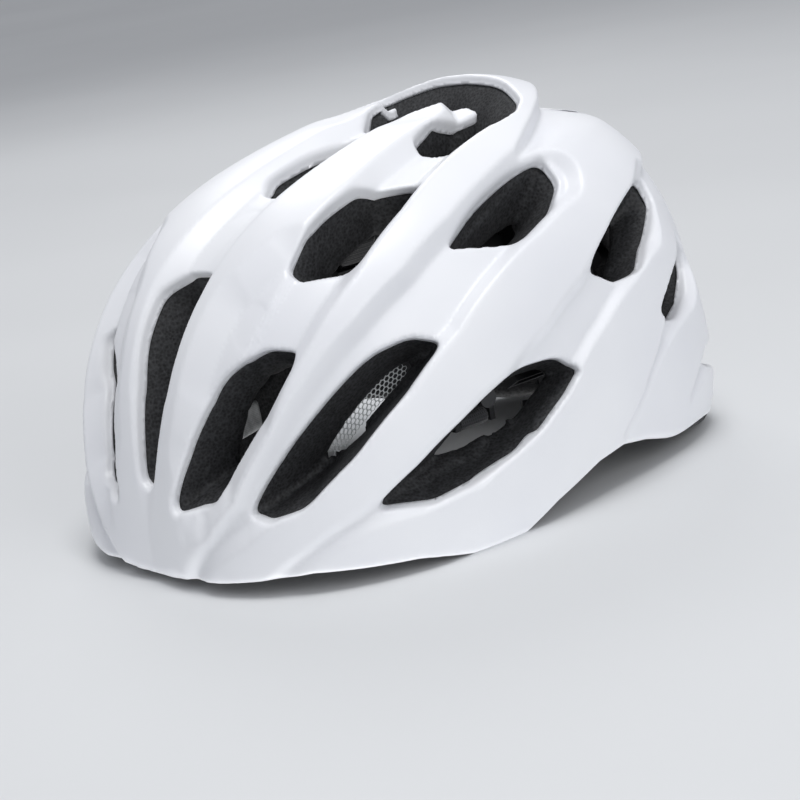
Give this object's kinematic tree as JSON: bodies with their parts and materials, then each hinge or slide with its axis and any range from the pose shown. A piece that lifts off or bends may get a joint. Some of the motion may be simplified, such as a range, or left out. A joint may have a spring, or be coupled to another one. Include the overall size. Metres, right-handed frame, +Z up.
{
  "type": "cycling helmet",
  "caption": "Vented road cycling helmet: white ribbed shell over black foam liner, with dial-adjusted rear cradle, pads and fold-out chin straps.",
  "frame": {"origin": "bottom centre of the bounding box, on the ground plane the rim stands on", "axes": "+Z up, -Y towards the front of the helmet, +X towards the wearer's left"},
  "size_m": [0.2108, 0.2818, 0.1642],
  "materials": {
    "shell_white": "satin",
    "eps_foam": "matte",
    "patch_grey": "satin",
    "net_mesh": "matte",
    "pad_fabric": "matte",
    "temple_fabric": "matte",
    "nylon_black": "satin",
    "soft_rubber": "matte",
    "webbing": "matte",
    "screw_steel": "satin"
  },
  "bodies": {
    "helmet": {"outer_shell": "shell_white", "eps_liner": "eps_foam", "rear_patch": "patch_grey", "bug_net_left": "net_mesh", "bug_net_right": "net_mesh", "front_pad": "pad_fabric", "crown_pad_left": "pad_fabric", "crown_pad_right": "pad_fabric", "temple_pad_left": "temple_fabric", "temple_pad_right": "temple_fabric", "rear_pad_left": "pad_fabric", "rear_pad_right": "pad_fabric", "temple_clips": "nylon_black", "strap_anchors": "nylon_black", "height_socket": "nylon_black"},
    "cradle": {"cradle_housing": "nylon_black", "cradle_cover": "nylon_black", "cradle_pads": "soft_rubber", "arm_guides": "nylon_black", "height_strip": "nylon_black"},
    "arm_left": {"arm_left": "nylon_black"},
    "arm_right": {"arm_right": "nylon_black"},
    "dial": {"dial": "nylon_black", "pinion": "nylon_black", "dial_screw": "screw_steel"},
    "strap_left": {"strap_left": "webbing", "divider_left": "nylon_black"},
    "strap_right": {"strap_right": "webbing", "divider_right": "nylon_black"},
    "cam_lever_left": {"cam_lever_left": "nylon_black"},
    "cam_lever_right": {"cam_lever_right": "nylon_black"},
    "chin_left": {"chin_strap_left": "webbing", "buckle_female": "nylon_black"},
    "chin_right": {"chin_strap_right": "webbing", "strap_keeper": "soft_rubber", "chin_pad": "pad_fabric"},
    "buckle_male": {"buckle_male": "nylon_black"}
  },
  "joints": [
    {"name": "cradle_tilt", "type": "hinge", "parent": "helmet", "child": "cradle", "pos_m": [0, 0.02683, 0.03], "axis": [-1, 0, 0], "range_deg": [0, 10]},
    {"name": "dial_turn", "type": "hinge", "parent": "cradle", "child": "dial", "pos_m": [0, 0.02683, 0.03], "axis": [0, -0.9877, 0.1564], "range_deg": [0, 240]},
    {"name": "arm_left_draw", "type": "hinge", "parent": "cradle", "child": "arm_left", "pos_m": [0, 0.02683, 0.03], "axis": [0, 0.1564, 0.9877], "range_deg": [0, 16.5]},
    {"name": "arm_right_draw", "type": "hinge", "parent": "cradle", "child": "arm_right", "pos_m": [0, 0.02683, 0.03], "axis": [0, 0.1564, 0.9877], "range_deg": [-16.5, 0]},
    {"name": "strap_left_drop", "type": "hinge", "parent": "helmet", "child": "strap_left", "pos_m": [0.076, 0.01383, 0.044], "axis": [0, -1, 0], "range_deg": [0, 127]},
    {"name": "strap_right_drop", "type": "hinge", "parent": "helmet", "child": "strap_right", "pos_m": [-0.076, 0.01383, 0.044], "axis": [0, 1, 0], "range_deg": [0, 127]},
    {"name": "chin_left_unfold", "type": "hinge", "parent": "strap_left", "child": "chin_left", "pos_m": [0.03575, 0.01383, 0.10852], "axis": [0, 1, 0], "range_deg": [0, 167]},
    {"name": "chin_right_unfold", "type": "hinge", "parent": "strap_right", "child": "chin_right", "pos_m": [-0.03575, 0.01383, 0.10852], "axis": [0, -1, 0], "range_deg": [0, 167]},
    {"name": "cam_left_open", "type": "hinge", "parent": "strap_left", "child": "cam_lever_left", "pos_m": [0.0466, 0.01383, 0.10612], "axis": [0, -1, 0], "range_deg": [0, 60]},
    {"name": "cam_right_open", "type": "hinge", "parent": "strap_right", "child": "cam_lever_right", "pos_m": [-0.0466, 0.01383, 0.10612], "axis": [0, 1, 0], "range_deg": [0, 60]},
    {"name": "buckle_slide", "type": "slide", "parent": "chin_right", "child": "buckle_male", "axis": [0.5, 0, 0.866], "range_m": [0, 0.012]}
  ],
  "couplings": [
    {"joint": "arm_left_draw", "follows": "dial_turn", "ratio": 0.068354},
    {"joint": "arm_right_draw", "follows": "dial_turn", "ratio": -0.068354},
    {"joint": "chin_left_unfold", "follows": "strap_left_drop", "ratio": 1.31},
    {"joint": "chin_right_unfold", "follows": "strap_right_drop", "ratio": 1.31}
  ]
}
